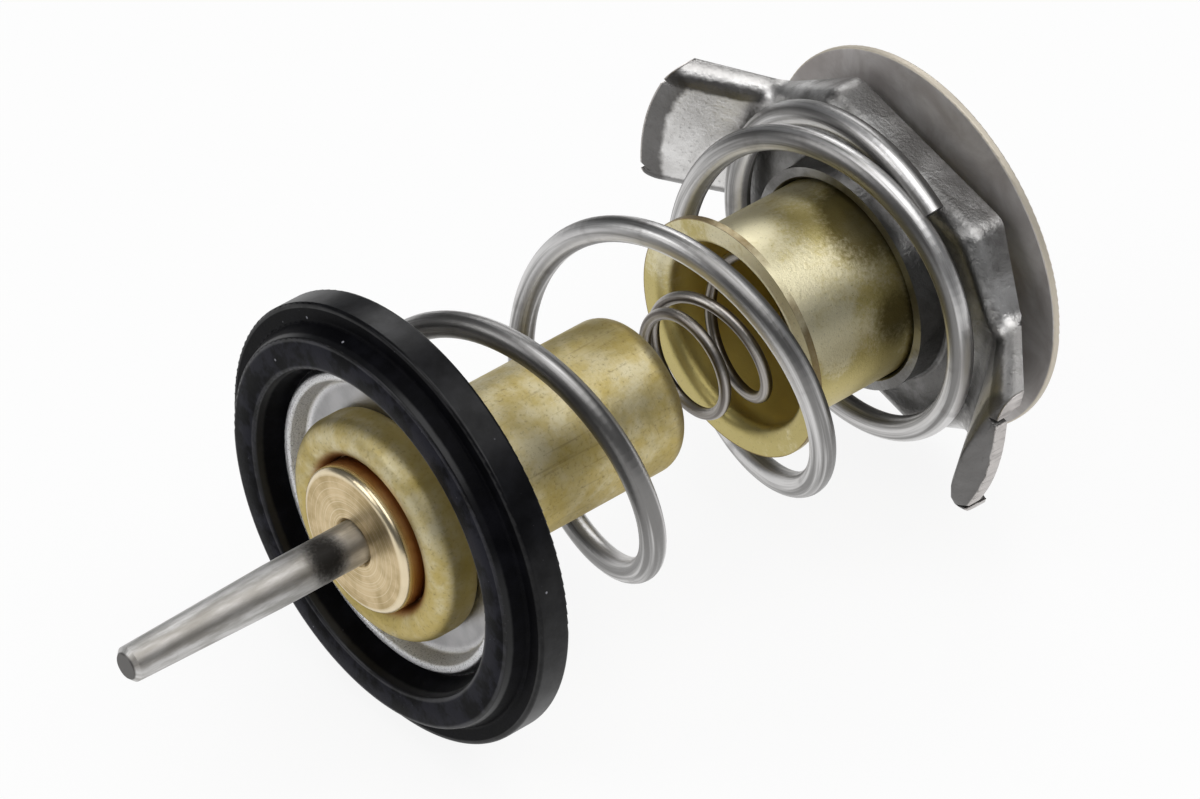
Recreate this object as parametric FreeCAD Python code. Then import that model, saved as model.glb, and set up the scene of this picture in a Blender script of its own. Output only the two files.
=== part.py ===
import FreeCAD, Part
import math
import os

# Engine coolant thermostat: a wax element that opens a sprung valve disc and pushes a bypass disc.
# The axis of the whole part lies along X, rod tip towards -X and bypass disc towards +X.
# It lies on the rims of the valve seal and the bypass disc, with the floor at Z = 0.
# Places along the axis are measured from the front edge of the seal's rim and grow rearwards.
# All sizes are in millimetres.

# Valve seal, moulded rubber
seal_r = 22.0
seal_rim_width = 1.8
seal_rim_depth = 3.3
seal_step_height = 2.0
seal_step_run = 0.8
seal_face_width = 3.0
seal_back_width = 5.0
seal_edge_round = 0.35

# Valve plate, pressed stainless sheet
plate_thickness = 1.0
plate_floor_x = 2.1
plate_rim_x = 1.2
plate_rim_r = 20.6
bead_crest_r = 14.55
bead_crest_x = 0.3
bead_crest_width = 0.7
bead_foot_run = 0.55

# Wax element case, drawn brass
case_r = 7.8
case_wall = 0.9
case_end_x = 30.2
case_end_round = 2.0
case_foot_bend = 0.3
head_r = 11.2
head_front_x = -2.3
head_bend = 1.9
head_foot_bend = 0.95

# Guide, turned bronze
guide_face_x = -3.6
guide_r = 7.3
guide_edge_round = 0.7
guide_flange_front_x = -0.3
guide_flange_thickness = 1.0
guide_stem_r = 4.2
guide_stem_end_x = 8.0
bore_chamfer = 0.3

# Piston rod, ground steel
rod_r = 2.12
rod_tip_r = 1.72
rod_reach = 29.5
rod_taper_start_x = -13.0
rod_tip_chamfer = 0.5
rod_end_x = 22.9
rod_clearance = 0.04

# Rubber boot and washer inside the element
washer_thickness = 1.0
boot_wall = 1.6
boot_neck_r = 5.6
boot_neck_end_x = 10.2
boot_cone_run = 0.8
boot_sleeve_r = 3.8
boot_end_gap = 0.5
inner_gap = 0.05

# Main spring
main_wire_r = 1.25
main_rear_r = 16.47
main_radius_drop = 0.61
main_pitch = 20.2
main_closed_lead = 1.3
main_start_turn = 0.13
main_closed_turns = 0.91
main_start_angle = -1.49
pitch_blend = 0.12

# Retainer frame, stamped stainless sheet
frame_thickness = 1.3
frame_floor_x = 58.5
frame_rear_x = 63.1
frame_tilt = 14.6
frame_half_width = 14.1
frame_wide_half_length = 10.3
ear_root_u = 16.9
ear_half_width = 8.1
ear_reach = 25.2
ear_slope = 43.0
ear_tip_width = 2.05
ear_tip_slope = 16.0
ear_bend = 2.4
ear_flange_depth = 2.7
ear_flange_end_depth = 2.2
flange_bend = 2.0
outline_round = 2.5
notch_width = 0.9
notch_depth = 1.1

# Collar, drawn forwards out of the frame's floor
collar_lip_x = 55.1
collar_bend = 0.5
collar_root_width = 0.1
collar_lip_chamfer = 0.35

# Bypass cup, drawn brass
cup_front_x = 41.45
cup_flange_r = 12.2
cup_r = 10.1
cup_wall = 0.7
cup_mouth_round = 1.3
cup_end_round = 1.2
cup_clearance = 0.08

# Bypass disc, stainless sheet, and its rivet
disc_front_x = 64.4
disc_thickness = 0.8
disc_r = 19.7
disc_edge_round = 0.2
rivet_r = 1.6
rivet_head_r = 3.2
rivet_head_height = 1.0
rivet_sink_r = 2.3

# Bypass spring
small_wire_r = 0.58
small_front_x = 35.2
small_front_r = 4.93
small_rear_r = 7.7
small_pitch = 8.95
small_closed_lead = 1.68
small_first_rise_turn = 1.13
small_start_angle = 2.24

# Length that a cutting shape reaches past what it cuts
trim_margin = 3.0

# Places that follow from the sizes above
disc_rear_x = disc_front_x + disc_thickness
middle_x = (disc_rear_x - rod_reach) / 2
case_inner_r = case_r - case_wall
guide_bore_r = rod_r + rod_clearance
guide_flange_r = head_r - case_wall - inner_gap
guide_flange_rear_x = guide_flange_front_x + guide_flange_thickness
head_lip_r = guide_r + inner_gap
head_lip_x = guide_flange_front_x - inner_gap
head_floor_x = plate_floor_x - case_wall
stem_hole_r = guide_stem_r + inner_gap
cup_bottom_x = disc_front_x - cup_wall
collar_r = cup_r + cup_clearance
ear_knee_u = ear_reach - ear_tip_width
ear_knee_x = frame_floor_x - (ear_knee_u - ear_root_u) * math.tan(math.radians(ear_slope))
ear_end_x = ear_knee_x - ear_tip_width * math.tan(math.radians(ear_tip_slope))

AXIS_START = FreeCAD.Vector(0, 0, 0)
AXIS = FreeCAD.Vector(1, 0, 0)


def corner_arc(before, corner, after, radius):
    """Two tangent points and the arc that rounds one corner of an outline."""
    to_before = (before - corner).normalize()
    to_after = (after - corner).normalize()
    half = to_before.getAngle(to_after) / 2
    reach = radius / math.tan(half)
    start = corner + to_before * reach
    end = corner + to_after * reach
    bisector = (to_before + to_after).normalize()
    middle = corner + bisector * (radius / math.sin(half) - radius)
    return start, end, Part.Arc(start, middle, end).toShape()


def outline(points, radii, closed=True):
    """Edges along a row of points, with each corner rounded by its own radius."""
    count = len(points)
    edges = []
    starts = list(points)
    ends = list(points)
    arcs = [None] * count
    for i, radius in enumerate(radii):
        if radius > 0:
            before = points[i - 1]
            after = points[(i + 1) % count]
            starts[i], ends[i], arcs[i] = corner_arc(before, points[i], after, radius)
    for i in range(count):
        if arcs[i]:
            edges.append(arcs[i])
        if closed or i < count - 1:
            following = starts[(i + 1) % count]
            if ends[i].distanceToPoint(following) > 1e-6:
                edges.append(Part.makeLine(ends[i], following))
    return edges


def turned(section, radii=None):
    """Solid of revolution from a closed section of (place along the axis, radius) points."""
    points = [FreeCAD.Vector(x, 0, r) for x, r in section]
    edges = outline(points, radii or [0] * len(points))
    face = Part.Face(Part.Wire(Part.__sortEdges__(edges)))
    return face.revolve(AXIS_START, AXIS, 360)


def inset_path(path, distance):
    """The path moved sideways, to the right of its direction, with its corners kept sharp."""
    moved = []
    for i, (x, r) in enumerate(path):
        sides = []
        for j in (i - 1, i):
            if 0 <= j < len(path) - 1:
                run = math.dist(path[j], path[j + 1])
                along = ((path[j + 1][0] - path[j][0]) / run, (path[j + 1][1] - path[j][1]) / run)
                sides.append((along[1], -along[0]))
        first, last = sides[0], sides[-1]
        share = distance / (1 + first[0] * last[0] + first[1] * last[1])
        moved.append((x + (first[0] + last[0]) * share, r + (first[1] + last[1]) * share))
    return moved


def drawn(path, bends, wall):
    """Drawn sheet: a turned wall that lies to the right of the path, bent at each corner."""
    inner = inset_path(path, wall)
    inner_bends = [0] * len(path)
    for i in range(1, len(path) - 1):
        into = (path[i][0] - path[i - 1][0], path[i][1] - path[i - 1][1])
        out = (path[i + 1][0] - path[i][0], path[i + 1][1] - path[i][1])
        turns_left = into[0] * out[1] - into[1] * out[0] > 0
        inner_bends[i] = bends[i] + wall if turns_left else max(bends[i] - wall, 0)
    return turned(path + inner[::-1], bends + inner_bends[::-1])


def extruded(points, radii, direction):
    """Prism on a closed outline."""
    edges = outline(points, radii)
    face = Part.Face(Part.Wire(Part.__sortEdges__(edges)))
    return face.extrude(direction)


def piston_rod():
    tip_x = -rod_reach
    shoulder_x = tip_x + rod_tip_chamfer
    section = [
        (tip_x, 0),
        (tip_x, rod_tip_r - rod_tip_chamfer),
        (shoulder_x, rod_tip_r),
        (rod_taper_start_x, rod_r),
        (rod_end_x, rod_r),
        (rod_end_x, 0),
    ]
    return turned(section)


def guide_boss():
    section = [
        (guide_face_x, guide_bore_r + bore_chamfer),
        (guide_face_x, guide_r),
        (guide_flange_front_x, guide_r),
        (guide_flange_front_x, guide_flange_r),
        (guide_flange_rear_x, guide_flange_r),
        (guide_flange_rear_x, guide_stem_r),
        (guide_stem_end_x, guide_stem_r),
        (guide_stem_end_x, guide_bore_r),
        (guide_face_x + bore_chamfer, guide_bore_r),
    ]
    return turned(section, [0, guide_edge_round] + [0] * 7)


def rod_washer():
    washer_end_x = guide_stem_end_x + washer_thickness
    section = [
        (guide_stem_end_x, guide_bore_r),
        (guide_stem_end_x, guide_stem_r),
        (washer_end_x, guide_stem_r),
        (washer_end_x, guide_bore_r),
    ]
    return turned(section)


def boot_outside():
    """Outer side of the rubber boot, from the head's floor to its closed end."""
    boot_end_x = rod_end_x + boot_end_gap + boot_wall
    return [
        (head_floor_x, boot_neck_r),
        (boot_neck_end_x, boot_neck_r),
        (boot_neck_end_x + boot_cone_run, boot_sleeve_r),
        (boot_end_x, boot_sleeve_r),
        (boot_end_x, 0),
    ]


def rubber_boot():
    washer_end_x = guide_stem_end_x + washer_thickness
    inner_end_x = rod_end_x + boot_end_gap
    flange = [(guide_flange_rear_x, guide_flange_r), (head_floor_x, guide_flange_r)]
    inside = [
        (inner_end_x, 0),
        (inner_end_x, guide_bore_r),
        (washer_end_x, guide_bore_r),
        (washer_end_x, stem_hole_r),
        (guide_flange_rear_x, stem_hole_r),
    ]
    return turned(flange + boot_outside() + inside)


def wax_charge():
    wax_end_x = case_end_x - case_wall
    section = boot_outside() + [
        (wax_end_x, 0),
        (wax_end_x, case_inner_r),
        (head_floor_x, case_inner_r),
    ]
    radii = [0] * len(section)
    radii[-2] = case_end_round - case_wall
    return turned(section, radii)


def element_case():
    path = [
        (head_lip_x, head_lip_r),
        (head_front_x, head_lip_r),
        (head_front_x, head_r),
        (plate_floor_x, head_r),
        (plate_floor_x, case_r),
        (case_end_x, case_r),
        (case_end_x, 0),
    ]
    bends = [0, head_bend, head_bend, head_foot_bend, case_foot_bend, case_end_round, 0]
    return drawn(path, bends, case_wall)


def valve_plate():
    crest_inner_r = bead_crest_r - bead_crest_width / 2
    crest_outer_r = bead_crest_r + bead_crest_width / 2
    hole_r = case_r + case_foot_bend + inner_gap
    floor_back_x = plate_floor_x + plate_thickness
    rim_back_x = plate_rim_x + plate_thickness
    section = [
        (plate_floor_x, hole_r),
        (plate_floor_x, crest_inner_r - bead_foot_run),
        (bead_crest_x, crest_inner_r),
        (bead_crest_x, crest_outer_r),
        (plate_rim_x, crest_outer_r + bead_foot_run),
        (plate_rim_x, plate_rim_r),
        (rim_back_x, plate_rim_r),
        (rim_back_x, crest_outer_r + bead_foot_run / 2),
        (floor_back_x, crest_inner_r),
        (floor_back_x, hole_r),
    ]
    return turned(section, [0, 0.5, 0.35, 0.35, 0.4, 0, 0, 0.4, 0.4, 0])


def valve_seal():
    step_foot_r = seal_r - seal_rim_width
    step_top_r = step_foot_r - seal_step_run
    face_inner_r = step_top_r - seal_face_width
    seat_r = bead_crest_r + bead_crest_width / 2 + bead_foot_run
    section = [
        (0, seal_r),
        (seal_rim_depth, seal_r),
        (seal_rim_depth, seal_r - seal_back_width),
        (plate_rim_x + plate_thickness, seal_r - seal_back_width - seal_step_run),
        (plate_rim_x, seat_r),
        (-seal_step_height, face_inner_r),
        (-seal_step_height, step_top_r),
        (0, step_foot_r),
    ]
    edge = seal_edge_round
    solid = turned(section, [edge, edge, edge, 0, 0, edge, edge, edge])
    return solid.cut(valve_plate())


def coil(place, radius, angle, first_turn, last_turn, wire_r):
    """Round wire along a coil whose place, radius and angle are given for each turn."""
    steps_per_turn = 16
    steps = round((last_turn - first_turn) * steps_per_turn)
    points = []
    for i in range(steps + 1):
        turn = first_turn + (last_turn - first_turn) * i / steps
        sideways = radius(turn) * math.sin(angle(turn))
        upwards = radius(turn) * math.cos(angle(turn))
        points.append(FreeCAD.Vector(place(turn), sideways, upwards))
    line = Part.BSplineCurve()
    line.interpolate(points)
    spine = Part.Wire(line.toShape())
    start_direction = line.tangent(line.FirstParameter)[0]
    ring = Part.Wire(Part.makeCircle(wire_r, points[0], start_direction))
    return spine.makePipeShell([ring], True, True)


def risen(turn, first_rise, last_rise, lead, pitch):
    """Distance climbed since turn 0: closed end turns, with an open pitch between them."""
    def climbed(since):
        if since <= 0:
            return 0
        return since - pitch_blend * (1 - math.exp(-since / pitch_blend))
    open_part = climbed(turn - first_rise) - climbed(turn - last_rise)
    return lead * turn + (pitch - lead) * open_part


def main_spring():
    rear_x = frame_floor_x - main_wire_r - inner_gap
    front_x = plate_floor_x + plate_thickness + main_wire_r + inner_gap
    first_rise_turn = main_start_turn + main_closed_turns
    open_rise = rear_x - front_x - 2 * main_closed_lead * main_closed_turns
    last_rise_turn = first_rise_turn + open_rise / main_pitch
    last_turn = last_rise_turn + main_closed_turns
    start_rise = main_closed_lead * main_start_turn

    def place(turn):
        rise = risen(turn, first_rise_turn, last_rise_turn, main_closed_lead, main_pitch)
        return rear_x + start_rise - rise

    def radius(turn):
        return main_rear_r - main_radius_drop * turn

    def angle(turn):
        return main_start_angle + 2 * math.pi * turn

    return coil(place, radius, angle, main_start_turn, last_turn, main_wire_r)


def bypass_spring():
    rear_x = cup_bottom_x - small_wire_r - inner_gap
    closed_turns = small_first_rise_turn
    open_rise = rear_x - small_front_x - 2 * small_closed_lead * closed_turns
    open_turns = open_rise / small_pitch
    last_rise_turn = small_first_rise_turn + open_turns
    last_turn = last_rise_turn + closed_turns

    def place(turn):
        rise = risen(turn, small_first_rise_turn, last_rise_turn, small_closed_lead, small_pitch)
        return small_front_x + rise

    def radius(turn):
        share = min(turn / last_rise_turn, 1)
        return small_front_r + (small_rear_r - small_front_r) * share

    def angle(turn):
        return small_start_angle - 2 * math.pi * turn

    return coil(place, radius, angle, 0, last_turn, small_wire_r)


def bypass_cup():
    rim_x = cup_front_x
    inner_r = cup_r - cup_wall
    path = [
        (cup_bottom_x, 0),
        (cup_bottom_x, inner_r),
        (rim_x, inner_r),
        (rim_x, cup_flange_r),
    ]
    cup = drawn(path, [0, cup_end_round, cup_mouth_round, 0], cup_wall)
    hole = Part.makeCylinder(rivet_r, 4 * cup_wall, FreeCAD.Vector(cup_bottom_x - cup_wall, 0, 0), AXIS)
    return cup.cut(hole)


def bypass_disc():
    section = [
        (disc_front_x, rivet_r),
        (disc_front_x, disc_r),
        (disc_rear_x, disc_r),
        (disc_rear_x, rivet_sink_r),
        (disc_rear_x - disc_thickness / 2, rivet_r),
    ]
    return turned(section, [0, disc_edge_round, disc_edge_round, 0, 0])


def disc_rivet():
    head_x = cup_bottom_x - rivet_head_height
    section = [
        (head_x, 0),
        (head_x, rivet_head_r),
        (cup_bottom_x, rivet_head_r),
        (cup_bottom_x, rivet_r),
        (disc_rear_x - disc_thickness / 2, rivet_r),
        (disc_rear_x, rivet_sink_r),
        (disc_rear_x, 0),
    ]
    return turned(section, [0, rivet_head_height / 2] + [0] * 5)


def frame_outline(inset):
    """Half of the strip's outline seen along the axis, mirrored to four corners each side."""
    beyond = ear_reach + trim_margin
    wide = frame_half_width - inset
    narrow = ear_half_width - inset
    slope = (frame_half_width - ear_half_width) / (ear_root_u - frame_wide_half_length)
    slide = inset * (math.sqrt(1 + slope * slope) - 1) / slope
    corner_u = frame_wide_half_length - slide
    root_u = ear_root_u - slide
    upper = [(-beyond, narrow), (-root_u, narrow), (-corner_u, wide)]
    upper += [(corner_u, wide), (root_u, narrow), (beyond, narrow)]
    lower = [(u, -w) for u, w in reversed(upper)]
    return [FreeCAD.Vector(0, u, w) for u, w in upper + lower]


def frame_side(inset, rear):
    """Side view of the strip: flat floor, ears bent forwards, and the back edge of the flanges."""
    beyond = ear_reach + trim_margin
    beyond_x = ear_end_x - trim_margin * math.tan(math.radians(ear_tip_slope))
    front = [(0, frame_floor_x), (ear_root_u, frame_floor_x), (ear_knee_u, ear_knee_x), (beyond, beyond_x)]
    moved = inset_path([(x, u) for u, x in front], inset)
    half = [(u, x) for x, u in moved][1:] + rear
    other = [(-u, x) for u, x in reversed(half)]
    return [FreeCAD.Vector(x, u, 0) for u, x in half + other]


def strip_block(inset, rear, bend, length_x):
    """Solid block of the strip, with the edges round its front rounded by the bend."""
    corners = frame_outline(inset)
    start = FreeCAD.Vector(ear_end_x - trim_margin, 0, 0)
    sharp = [0]
    radii = sharp + [outline_round] * 4 + sharp * 2 + [outline_round] * 4 + sharp
    prism = extruded([c + start for c in corners], radii, FreeCAD.Vector(length_x, 0, 0))
    side = frame_side(inset, rear)
    bends = [ear_bend + inset, ear_bend + frame_thickness - inset]
    side_radii = bends + [0] * (len(side) - 4) + bends[::-1]
    side_start = FreeCAD.Vector(0, 0, -frame_half_width - 1)
    tall = FreeCAD.Vector(0, 0, 2 * frame_half_width + 2)
    slab = extruded([c + side_start for c in side], side_radii, tall)
    block = prism.common(slab)
    front_edges = [e for e in block.Edges if lies_on_front(e, inset)]
    return block.makeFillet(bend, front_edges)


def front_place(u, inset):
    """Place of the strip's front, without its bends, at a distance from the axis."""
    points = [(0, frame_floor_x), (ear_root_u, frame_floor_x), (ear_knee_u, ear_knee_x)]
    points.append((ear_reach, ear_end_x))
    moved = [(u_, x) for x, u_ in inset_path([(x, u_) for u_, x in points], inset)]
    for (u0, x0), (u1, x1) in zip(moved, moved[1:]):
        if u <= u1 or (u1, x1) == moved[-1]:
            return x0 + (x1 - x0) * (u - u0) / (u1 - u0)


def lies_on_front(edge, inset):
    """True for an edge where the front of the strip meets one of its long sides."""
    ends = [edge.valueAt(edge.FirstParameter), edge.valueAt(edge.LastParameter)]
    middle = edge.valueAt((edge.FirstParameter + edge.LastParameter) / 2)
    near_front = abs(middle.x - front_place(abs(middle.y), inset)) < 1.0
    across = abs(ends[0].z - ends[1].z) > ear_half_width
    along_axis = abs(ends[0].x - ends[1].x) > 0.9 * edge.Length
    return near_front and not across and not along_axis


def collar():
    floor_back_x = frame_floor_x + frame_thickness
    root_r = collar_r + frame_thickness + collar_bend + collar_root_width
    path = [(floor_back_x, root_r), (floor_back_x, collar_r), (collar_lip_x, collar_r)]
    ring = drawn(path, [0, collar_bend + frame_thickness, 0], frame_thickness)
    lip_edges = [e for e in ring.Edges if abs(e.BoundBox.XMax - collar_lip_x) < 0.01]
    inner_edge = min(lip_edges, key=lambda e: e.BoundBox.YLength)
    return ring.makeChamfer(collar_lip_chamfer, [inner_edge]), root_r


def relief_notches():
    """Small V cuts between each ear's end and the end of its flanges."""
    notches = []
    for side in (1, -1):
        for level in (1, -1):
            offset = ear_half_width - flange_bend
            w = level * offset
            tip = math.sqrt(ear_reach ** 2 - offset ** 2) - notch_depth
            points = [(tip, w), (ear_reach + 1, w + notch_width), (ear_reach + 1, w - notch_width)]
            corners = [FreeCAD.Vector(ear_end_x - ear_bend, side * u, v) for u, v in points]
            depth = ear_bend + ear_flange_end_depth + 2 * frame_thickness
            notches.append(extruded(corners, [0, 0, 0], FreeCAD.Vector(depth, 0, 0)))
    return notches


def retainer_frame():
    root_rear_x = frame_floor_x + ear_flange_depth
    end_slope = (root_rear_x - ear_end_x - ear_flange_end_depth) / (ear_reach - ear_root_u)
    beyond = ear_reach + trim_margin
    rear_edge = [(beyond, root_rear_x - end_slope * (beyond - ear_root_u)), (ear_root_u, root_rear_x)]
    rear_edge.append((frame_wide_half_length, frame_rear_x))
    open_back = [(beyond, frame_rear_x + trim_margin)]
    length_x = frame_rear_x - ear_end_x + 2 * trim_margin
    outside = strip_block(0, rear_edge, flange_bend, length_x)
    inside = strip_block(frame_thickness, open_back, flange_bend - frame_thickness, length_x)
    strip = outside.cut(inside)
    front_x = ear_end_x - trim_margin
    trim = Part.makeCylinder(ear_reach, length_x, FreeCAD.Vector(front_x, 0, 0), AXIS)
    strip = strip.common(trim)
    ring, root_r = collar()
    hole_start = FreeCAD.Vector(frame_floor_x - frame_thickness, 0, 0)
    hole = Part.makeCylinder(root_r, 3 * frame_thickness, hole_start, AXIS)
    strip = strip.cut(hole).cut(relief_notches()).fuse(ring).removeSplitter()
    strip.rotate(AXIS_START, AXIS, frame_tilt)
    return strip


SUB_PARTS = {
    "piston_rod": piston_rod,
    "guide_boss": guide_boss,
    "rod_washer": rod_washer,
    "rubber_boot": rubber_boot,
    "wax_charge": wax_charge,
    "element_case": element_case,
    "valve_plate": valve_plate,
    "valve_seal": valve_seal,
    "main_spring": main_spring,
    "retainer_frame": retainer_frame,
    "bypass_cup": bypass_cup,
    "bypass_spring": bypass_spring,
    "bypass_disc": bypass_disc,
    "disc_rivet": disc_rivet,
}

os.makedirs("parts", exist_ok=True)
for name, make in SUB_PARTS.items():
    solid = make().Solids[0]
    solid.translate(FreeCAD.Vector(-middle_x, 0, seal_r))
    solid.exportStep("parts/" + name + ".step")
    print(name, round(solid.Volume, 1), "mm3")
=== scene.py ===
import math

import bmesh
import bpy
from mathutils import Matrix, Vector


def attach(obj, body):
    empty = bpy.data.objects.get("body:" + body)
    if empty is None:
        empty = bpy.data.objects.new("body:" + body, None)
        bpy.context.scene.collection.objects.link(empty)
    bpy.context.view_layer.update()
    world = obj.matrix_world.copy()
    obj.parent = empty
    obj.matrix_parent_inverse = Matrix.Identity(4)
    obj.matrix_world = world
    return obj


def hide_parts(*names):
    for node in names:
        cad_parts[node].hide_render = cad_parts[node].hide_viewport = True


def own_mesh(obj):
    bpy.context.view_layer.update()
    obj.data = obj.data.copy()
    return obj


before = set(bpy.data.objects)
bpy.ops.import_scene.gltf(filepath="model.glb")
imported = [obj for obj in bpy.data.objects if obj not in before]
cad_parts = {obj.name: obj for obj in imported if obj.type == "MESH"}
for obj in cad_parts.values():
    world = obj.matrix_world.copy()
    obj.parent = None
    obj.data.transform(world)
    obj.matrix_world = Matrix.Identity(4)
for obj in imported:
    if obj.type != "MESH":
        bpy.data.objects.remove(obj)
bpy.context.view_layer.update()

# Places along the axis are in mm from the front edge of the seal's rim, growing rearwards.
perMetre = 1000       # millimetres in a metre
axisHeight = 0.022    # metres above the floor
middlePlace = 17.85   # the place of the model's origin
earTilt = 14.6        # degrees between the line through both ears and the floor


def at(place, radius, angle=0.0):
    # angle 0 is straight up, and it grows towards +Y
    sideways = radius * math.sin(angle)
    upwards = radius * math.cos(angle)
    return Vector(((place - middlePlace) / perMetre, sideways / perMetre,
                   axisHeight + upwards / perMetre))


def finishMesh(name, bm, finish, body, sharpAngle):
    mesh = bpy.data.meshes.new(name)
    bm.to_mesh(mesh)
    bm.free()
    for face in mesh.polygons:
        face.use_smooth = True
    mesh.set_sharp_from_angle(angle=math.radians(sharpAngle))
    mesh.materials.append(finish)
    piece = bpy.data.objects.new(name, mesh)
    bpy.context.scene.collection.objects.link(piece)
    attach(piece, body)
    return piece


class Value:
    # a socket that Python's own operators work on
    def __init__(self, finish, socket):
        self.finish = finish
        self.socket = socket

    def __add__(self, other):
        return self.finish.maths("ADD", self, other)

    def __sub__(self, other):
        return self.finish.maths("SUBTRACT", self, other)

    def __rsub__(self, other):
        return self.finish.maths("SUBTRACT", other, self)

    def __mul__(self, other):
        return self.finish.maths("MULTIPLY", self, other)

    def __truediv__(self, other):
        return self.finish.maths("DIVIDE", self, other)

    def __rtruediv__(self, other):
        return self.finish.maths("DIVIDE", other, self)

    def __pow__(self, other):
        return self.finish.maths("POWER", self, other)

    def __rpow__(self, other):
        return self.finish.maths("POWER", other, self)

    __radd__ = __add__
    __rmul__ = __mul__

    def abs(self):
        return self.finish.maths("ABSOLUTE", self)

    def top(self, other):
        return self.finish.maths("MAXIMUM", self, other)

    def swing(self, size):
        # a noise, moved so that it goes as far below 0 as above it
        return (self - 0.5) * size

    def ramp(self, low, high, share=1):
        # a smooth step from 0 at low to the share at high
        inputs = {"Value": self, "From Min": low, "From Max": high}
        step = self.finish.add("ShaderNodeMapRange", {"interpolation_type": "SMOOTHSTEP"}, inputs)
        return step if share == 1 else step * share

    def band(self, centre, width, share=1):
        # the share at the centre, 0 a width away
        return (self - centre).abs().ramp(width, 0, share)


def weighed(weights, *masks):
    # the first weight alone, and each mask by its own weight
    total = weights[0]
    for weight, mask in zip(weights[1:], masks):
        total = total + mask * weight
    return total


shaderSockets = {
    "colour": "Base Color",
    "roughness": "Roughness",
    "metallic": "Metallic",
    "normal": "Normal",
    "specular": "Specular IOR Level",
    "coat": "Coat Weight",
    "coatRoughness": "Coat Roughness",
}


class Finish:
    def __init__(self, name):
        self.material = bpy.data.materials.new(name)
        self.material.use_nodes = True
        self.tree = self.material.node_tree
        self.tree.nodes.clear()
        self.surface = self.add("ShaderNodeBsdfPrincipled")
        self.output = self.add("ShaderNodeOutputMaterial", inputs={"Surface": self.surface})
        objectPlace = self.add("ShaderNodeTexCoord", output="Object")
        # millimetres, counted along the axis and out from it
        self.place = self.add("ShaderNodeVectorMath", {"operation": "MULTIPLY_ADD"},
                              {0: objectPlace, 1: (perMetre, perMetre, perMetre),
                               2: (middlePlace, 0, -axisHeight * perMetre)})
        self.x = self.add("ShaderNodeSeparateXYZ", inputs={0: self.place}, output="X")
        self.y = Value(self, self.x.socket.node.outputs["Y"])
        self.z = Value(self, self.x.socket.node.outputs["Z"])
        self.radius = (self.y * self.y + self.z * self.z) ** 0.5
        notZero = 0.01
        self.upness = self.z / (self.radius + notZero)
        self.sideness = self.y / (self.radius + notZero)

    def add(self, kind, settings=None, inputs=None, output=0):
        node = self.tree.nodes.new(kind)
        for key, value in (settings or {}).items():
            setattr(node, key, value)
        for key, value in (inputs or {}).items():
            self.feed(node.inputs[key], value)
        return Value(self, node.outputs[output]) if node.outputs else node

    def feed(self, socket, value):
        if isinstance(value, Value):
            self.tree.links.new(value.socket, socket)
        elif socket.type == "RGBA":
            socket.default_value = (*value, 1)
        else:
            socket.default_value = value

    def maths(self, operation, *terms):
        return self.add("ShaderNodeMath", {"operation": operation}, dict(enumerate(terms)))

    def vector(self, x, y, z):
        return self.add("ShaderNodeCombineXYZ", inputs={0: x, 1: y, 2: z})

    def stretched(self, where, factors):
        return self.add("ShaderNodeVectorMath", {"operation": "MULTIPLY"}, {0: where, 1: factors})

    def noise(self, where, scale, detail, roughness=0.55, distortion=0.0):
        inputs = {"Vector": where, "Scale": scale, "Detail": detail, "Roughness": roughness,
                  "Distortion": distortion}
        return self.add("ShaderNodeTexNoise", inputs=inputs)

    def specks(self, where, scale, size):
        # small round dots, one in each cell
        inputs = {"Vector": where, "Scale": scale}
        distance = self.add("ShaderNodeTexVoronoi", {"feature": "F1"}, inputs)
        return distance.ramp(size, size * 0.5)

    def near(self, spot, reach):
        # 1 at a spot, 0 at its reach, both in millimetres
        inputs = {0: self.place, 1: spot}
        distance = self.add("ShaderNodeVectorMath", {"operation": "DISTANCE"}, inputs, "Value")
        return distance.ramp(reach, 0)

    def mix(self, mask, first, second):
        # sockets 6 and 7 and output 2 are the node's colour ones
        return self.add("ShaderNodeMix", {"data_type": "RGBA"}, {0: mask, 6: first, 7: second}, 2)

    def around(self, along, across):
        # stretched along a turned surface, for lines that run with the axis
        return self.vector(self.x * along, self.sideness * across, self.upness * across)

    def rings(self, along, across):
        # lines that run round the axis
        return self.vector(self.x * along, self.radius * along, self.upness * across)

    def bump(self, height, depth):
        return self.add("ShaderNodeBump", inputs={"Height": height, "Distance": depth / perMetre,
                                                  "Strength": 1.0})

    def give(self, **values):
        for key, value in values.items():
            self.feed(self.surface.socket.node.inputs[shaderSockets[key]], value)
        return self.material


# In the looks below, a noise is its scale, detail, roughness and distortion. A mask is where
# it starts, where it is full, and its share if that isn't all; a band is its middle and how
# far off it ends. Roughness and height are a value that is everywhere and a weight for each
# mask that the function names. Places, radii, depths and noise scales count in mm.
rodLook = {
    "bright": (0.70, 0.69, 0.68),
    "shaded": (0.44, 0.43, 0.41),
    "wearAndShade": (0.36, 0.33, 0.29),
    "endFace": (0.15, 0.145, 0.14),
    "soot": (0.030, 0.028, 0.027),
    "cloudStretch": (0.20, 2.2),
    "cloudNoise": (1.0, 5, 0.6),
    "grindingStretch": (9, 0.6),
    "grindingNoise": (1.0, 2),
    "fineNoise": (3.0, 3),
    "clouds": (0.35, 0.68),
    "fineSpots": (0.58, 0.8, 0.3),
    "nearSide": (0.73, 0.68),
    "shadeRag": 0.5,
    "shadedSide": (0.72, 1.0, 0.62),
    "endPlaces": (-29.3, -29.45),
    "sootPlace": -7.7,
    "sootLength": 2.5,
    "sootNarrowness": 0.75,
    "sootRag": (0.5, 0.2),
    "sootSpread": (1.1, 0.1),
    "sootShare": 0.96,
    "roughness": (0.46, 0.10, 0.15),
    "depth": 0.006,
}


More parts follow.
